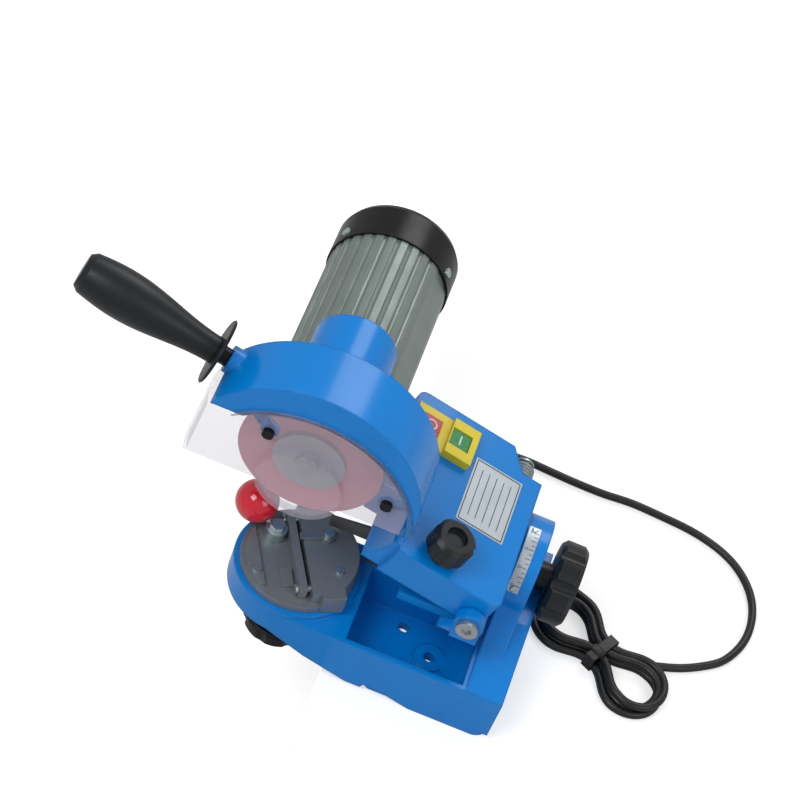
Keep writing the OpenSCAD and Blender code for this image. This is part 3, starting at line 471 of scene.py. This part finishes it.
def hankRuns(spec):
    left, right = Vector((*spec["leftFold"], 0)), Vector((*spec["rightFold"], 0))
    middle = (left + right) / 2
    along = (right - left).normalized()
    side = Vector((-along.y, along.x, 0))
    half = (right - left).length / 2
    outer = (spec["outerFold"], spec["outerWaist"])
    inner = (spec["innerFold"], spec["innerWaist"])
    low, high = spec["layers"]
    # each run: side of the hank, which loop, height and travel direction
    runs = [(1, outer, low, -1), (-1, outer, low, 1), (1, inner, low, -1), (-1, inner, low, 1),
            (1, inner, high, -1), (-1, inner, high, 1), (1, outer, high, -1)]
    steps, foldSteps = spec["strandSteps"], spec["foldSteps"]
    points = []
    for number, (sign, (fold, waist), height, way) in enumerate(runs):
        start = spec["joinsAt"] if number == 0 else 1.0
        for k in range(steps + 1):
            s = start - (start + 1.0) * k / steps  # 1 at one fold, 0 at the waist, -1 at the other fold
            # the strand eases away from the waist and into the fold
            share = 2 * s * s if abs(s) < 0.5 else 1 - 2 * (1 - abs(s)) ** 2
            lateral = waist + (fold - waist) * share
            spot = middle + along * (-way * s * half) + side * (sign * lateral)
            points.append(Vector((spot.x, spot.y, height)))
        if number + 1 == len(runs):
            break
        nextSign, (nextFold, _), nextHeight, _ = runs[number + 1]
        centre = left if way < 0 else right
        for k in range(1, foldSteps):
            turn = math.pi * k / foldSteps
            reach = fold + (nextFold - fold) * k / foldSteps
            rise = height + (nextHeight - height) * (1 - math.cos(math.pi * k / foldSteps)) / 2
            spot = centre + along * (way * math.sin(turn) * reach) + side * (sign * math.cos(turn) * reach)
            points.append(Vector((spot.x, spot.y, rise)))
    return points


def smoothRoute(points, step):
    # a Catmull-Rom pass through the points, resampled about every step
    padded = [points[0] * 2 - points[1]] + points + [points[-1] * 2 - points[-2]]
    fine = []
    for a, b, c, d in zip(padded, padded[1:], padded[2:], padded[3:]):
        pieces = max(2, int((c - b).length / step))
        for k in range(pieces):
            t = k / pieces
            fine.append(0.5 * ((2 * b) + (c - a) * t + (2 * a - 5 * b + 4 * c - d) * t * t
                               + (3 * b - a - 3 * c + d) * t ** 3))
    fine.append(points[-1])
    return fine


def addCord(spec):
    route = [Vector(p) for p in spec["lead"]] + hankRuns(spec) + [Vector(p) for p in spec["tail"]]
    route = [p * mm for p in smoothRoute(route, spec["routeStep"])]
    curve = bpy.data.curves.new("mains_cord", "CURVE")
    curve.dimensions = "3D"
    spline = curve.splines.new("POLY")
    spline.points.add(len(route) - 1)
    for spot, place in zip(spline.points, route):
        spot.co = (*place, 1)
    curve.bevel_depth = spec["diameter"] / 2
    curve.bevel_resolution = spec["roundSteps"]
    curve.use_fill_caps = True
    piece = bpy.data.objects.new("mains_cord", curve)
    scene.collection.objects.link(piece)
    piece.data.materials.append(made["pvcBlack"])
    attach(piece, "base")
    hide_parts("cord_lead", "cord_hank", "cord_tail")


addCord(cord)

# a ring on the stop button and a bar on the start button, in the arm's own frame: centre is the switch's
# middle, top the box's top, and each mark is at (along, up) from these
switchMarks = dict(centre=(-72.5, 93.5), top=22.0, ringRadius=4.0, lineWidth=1.1, barLength=8.5, stand=0.25,
                   stopAt=(-12, 5.6), startAt=(12, 6.2), edge=0.12)


def markSpot(spec, offset):
    along, up = offset
    x, y = spec["centre"]
    return armPlace @ Vector(((x + along) * mm, y * mm, (spec["top"] + up) * mm))


def addSwitchMarks(spec):
    bpy.ops.mesh.primitive_torus_add(major_radius=spec["ringRadius"] * mm,
                                     minor_radius=spec["lineWidth"] / 2 * mm,
                                     major_segments=40, minor_segments=8,
                                     location=markSpot(spec, spec["stopAt"]), rotation=(0, armAngle, 0))
    ring = bpy.context.object
    ring.scale = (1, 1, spec["stand"] * 2 / spec["lineWidth"])
    ring.name = "stop_mark"
    settle(ring)
    bpy.ops.object.shade_smooth()
    finishPiece(ring, made["absWhite"], "stop_button")
    bpy.ops.mesh.primitive_cube_add(size=1, location=markSpot(spec, spec["startAt"]),
                                    rotation=(0, armAngle, 0))
    bar = bpy.context.object
    bar.scale = (spec["lineWidth"] * mm, spec["barLength"] * mm, spec["stand"] * 2 * mm)
    bar.name = "start_mark"
    settle(bar)
    roundEdges(bar, spec["edge"] * mm)
    finishPiece(bar, made["absWhite"], "start_button")
    print("switch marks made")


addSwitchMarks(switchMarks)

# marks and plain numbers on the strip that curves round the tilt tower's head, where an angle of 90 is
# the top and larger ones run down its front; the numbers stand at twice the arc that they name
tiltScale = dict(y=60, z=72, radius=40.5, xIn=30.3, xOut=39.0, margin=0.6, first=90, last=150, step=5,
                 line=0.45, thick=0.12, longMark=4.2, shortMark=2.6,
                 numberAt={0: 90, 10: 110, 20: 130, 30: 150}, numberHeight=3.0, numberIn=2.1,
                 numberDepth=0.05)


def scaleSpot(spec, angle, x):
    return (Matrix.Translation((0, spec["y"] * mm, spec["z"] * mm))
            @ Matrix.Rotation(math.radians(angle - 90), 4, "X")
            @ Matrix.Translation((x * mm, 0, spec["radius"] * mm)))


def addTiltScale(spec):
    pieces = []
    for index, angle in enumerate(range(spec["first"], spec["last"] + 1, spec["step"])):
        reach = spec["longMark"] if index % 2 == 0 else spec["shortMark"]
        bpy.ops.mesh.primitive_cube_add(size=1)
        mark = bpy.context.object
        place = scaleSpot(spec, angle, spec["xOut"] - spec["margin"] - reach / 2)
        mark.matrix_world = place @ Matrix.Diagonal((reach * mm, spec["line"] * mm, spec["thick"] * mm, 1))
        pieces.append(mark)
    for number, angle in spec["numberAt"].items():
        bpy.ops.object.text_add()
        label = bpy.context.object
        label.data.body = str(number)
        label.data.size = spec["numberHeight"] * mm
        label.data.extrude = spec["numberDepth"] * mm
        label.data.align_x = "CENTER"
        label.data.align_y = "CENTER"
        selectOnly(label)
        bpy.ops.object.convert(target="MESH")
        label = bpy.context.object
        label.matrix_world = scaleSpot(spec, angle, spec["xIn"] + spec["numberIn"])
        pieces.append(label)
    marks = joinPieces(pieces, "scale_marks")
    settle(marks)
    finishPiece(marks, made["oxideBlack"], "base")
    print("scale marks made:", len(marks.data.vertices))


addTiltScale(tiltScale)

# a thin frame and plain rules on the rating plate, which carries no text
plateBorder = dict(centre=(-23.2, 64), size=(36.4, 57.4), top=22.5, line=0.6, stand=0.2,
                   rows=(-12, -6, 0, 6, 12), rule=(0.5, 44, 0.16), ruleLift=0.05)


def plateSpot(spec, aside, up):
    x, y = spec["centre"]
    return armPlace @ Matrix.Translation(((x + aside) * mm, y * mm, (spec["top"] + up) * mm))


def addPlateBorder(spec):
    bpy.ops.mesh.primitive_plane_add(size=1)
    border = bpy.context.object
    border.name = "plate_border"
    border.scale = (spec["size"][0] * mm, spec["size"][1] * mm, 1)
    settle(border)
    bpy.ops.object.mode_set(mode="EDIT")
    bpy.ops.mesh.select_all(action="SELECT")
    bpy.ops.mesh.inset(thickness=spec["line"] * mm, depth=0)
    bpy.ops.mesh.delete(type="FACE")
    bpy.ops.mesh.select_all(action="SELECT")
    bpy.ops.mesh.extrude_region_move(TRANSFORM_OT_translate={"value": (0, 0, spec["stand"] * mm)})
    faceOutwards()
    bpy.ops.object.mode_set(mode="OBJECT")
    border.matrix_world = plateSpot(spec, 0, 0)
    settle(border)
    rules = [border]
    for row in spec["rows"]:
        bpy.ops.mesh.primitive_cube_add(size=1)
        rule = bpy.context.object
        size = [v * mm for v in spec["rule"]]
        rule.matrix_world = plateSpot(spec, row, spec["ruleLift"]) @ Matrix.Diagonal((*size, 1))
        rules.append(rule)
    border = joinPieces(rules, "plate_border")
    settle(border)
    finishPiece(border, made["oxideBlack"], "arm")
    print("plate border made")


addPlateBorder(plateBorder)

# the lock knob hangs below the base, so the base stands at the edge of a bench top over the floor;
# each surface is (albedo, glow), and the glow is seen but lights nothing
stage = dict(benchLow=(-70, -4000, -40), benchHigh=(4000, 4000, 0), floorHeight=-120, floorSize=8.0,
             benchTop=(0.62, 0.52), benchSide=(0.0, 1.0), floor=(0.62, 0.66))


def seenDirectly(tree):
    # 1 for rays from the camera or through a clear piece, 0 for light that bounces on
    path = addNode(tree, "ShaderNodeLightPath")
    return addNode(tree, "ShaderNodeMath", {"operation": "MAXIMUM"}, {},
                   {0: path.outputs["Is Camera Ray"], 1: path.outputs["Is Transmission Ray"]}).outputs[0]


def paleMaterial(name, surface):
    albedo, glow = surface
    material = bpy.data.materials.new(name)
    material.use_nodes = True
    tree = material.node_tree
    tree.nodes.remove(tree.nodes["Principled BSDF"])
    out = tree.nodes["Material Output"]
    matte = addNode(tree, "ShaderNodeBsdfDiffuse", {}, {"Color": (albedo, albedo, albedo, 1)})
    light = addNode(tree, "ShaderNodeEmission", {}, {"Color": (1, 1, 1, 1), "Strength": glow})
    both = addNode(tree, "ShaderNodeAddShader")
    tree.links.new(matte.outputs[0], both.inputs[0])
    tree.links.new(light.outputs[0], both.inputs[1])
    mix = addNode(tree, "ShaderNodeMixShader", {}, {},
                  {0: seenDirectly(tree), 1: matte.outputs[0], 2: both.outputs[0]})
    tree.links.new(mix.outputs[0], out.inputs["Surface"])
    return material


def addStage(spec):
    low, high = Vector(spec["benchLow"]) * mm, Vector(spec["benchHigh"]) * mm
    bpy.ops.mesh.primitive_cube_add(size=1, location=(low + high) / 2)
    bench = bpy.context.object
    bench.name = "bench_top"
    bench.scale = high - low
    settle(bench)
    bench.visible_shadow = False
    bench.data.materials.append(paleMaterial("benchPale", spec["benchTop"]))
    bench.data.materials.append(paleMaterial("benchSide", spec["benchSide"]))
    for face in bench.data.polygons:
        face.material_index = 0 if face.normal.z > 0.5 else 1
    bpy.ops.mesh.primitive_plane_add(size=spec["floorSize"], location=(0, 0, spec["floorHeight"] * mm))
    floor = bpy.context.object
    floor.name = "floor"
    settle(floor)
    floor.data.materials.append(paleMaterial("floorPale", spec["floor"]))


# soft area lamps, in metres and watts, all turned to one spot near the part's middle
lampAim = (-0.09, 0.08, 0.12)
lamps = {
    "keyLamp": dict(place=(-0.9, -0.9, 1.7), power=17, size=0.9),
    "fillLamp": dict(place=(1.2, -0.7, 1.2), power=7, size=1.0),
    "rimLamp": dict(place=(0.2, 1.4, 1.5), power=9, size=0.9),
}


def addLamps(spec):
    aim = Vector(lampAim)
    for name, lamp in spec.items():
        data = bpy.data.lights.new(name, "AREA")
        data.energy = lamp["power"]
        data.size = lamp["size"]
        thing = bpy.data.objects.new(name, data)
        scene.collection.objects.link(thing)
        thing.location = lamp["place"]
        thing.rotation_euler = (aim - thing.location).to_track_quat("-Z", "Y").to_euler()


# the sky lights the part softly and is seen plain white
sky = dict(light=0.5, seen=1.0)


def addSky(spec):
    world = bpy.data.worlds.new("sky")
    scene.world = world
    world.use_nodes = True
    tree = world.node_tree
    out = [n for n in tree.nodes if n.type == "OUTPUT_WORLD"][0]
    dim = [n for n in tree.nodes if n.type == "BACKGROUND"][0]
    dim.inputs["Color"].default_value = (1, 1, 1, 1)
    dim.inputs["Strength"].default_value = spec["light"]
    bright = addNode(tree, "ShaderNodeBackground", {}, {"Color": (1, 1, 1, 1), "Strength": spec["seen"]})
    mix = addNode(tree, "ShaderNodeMixShader", {}, {},
                  {0: seenDirectly(tree), 1: dim.outputs[0], 2: bright.outputs[0]})
    tree.links.new(mix.outputs[0], out.inputs["Surface"])


addStage(stage)
addLamps(lamps)
addSky(sky)
scene.view_settings.view_transform = "Standard"
print("stage lit")
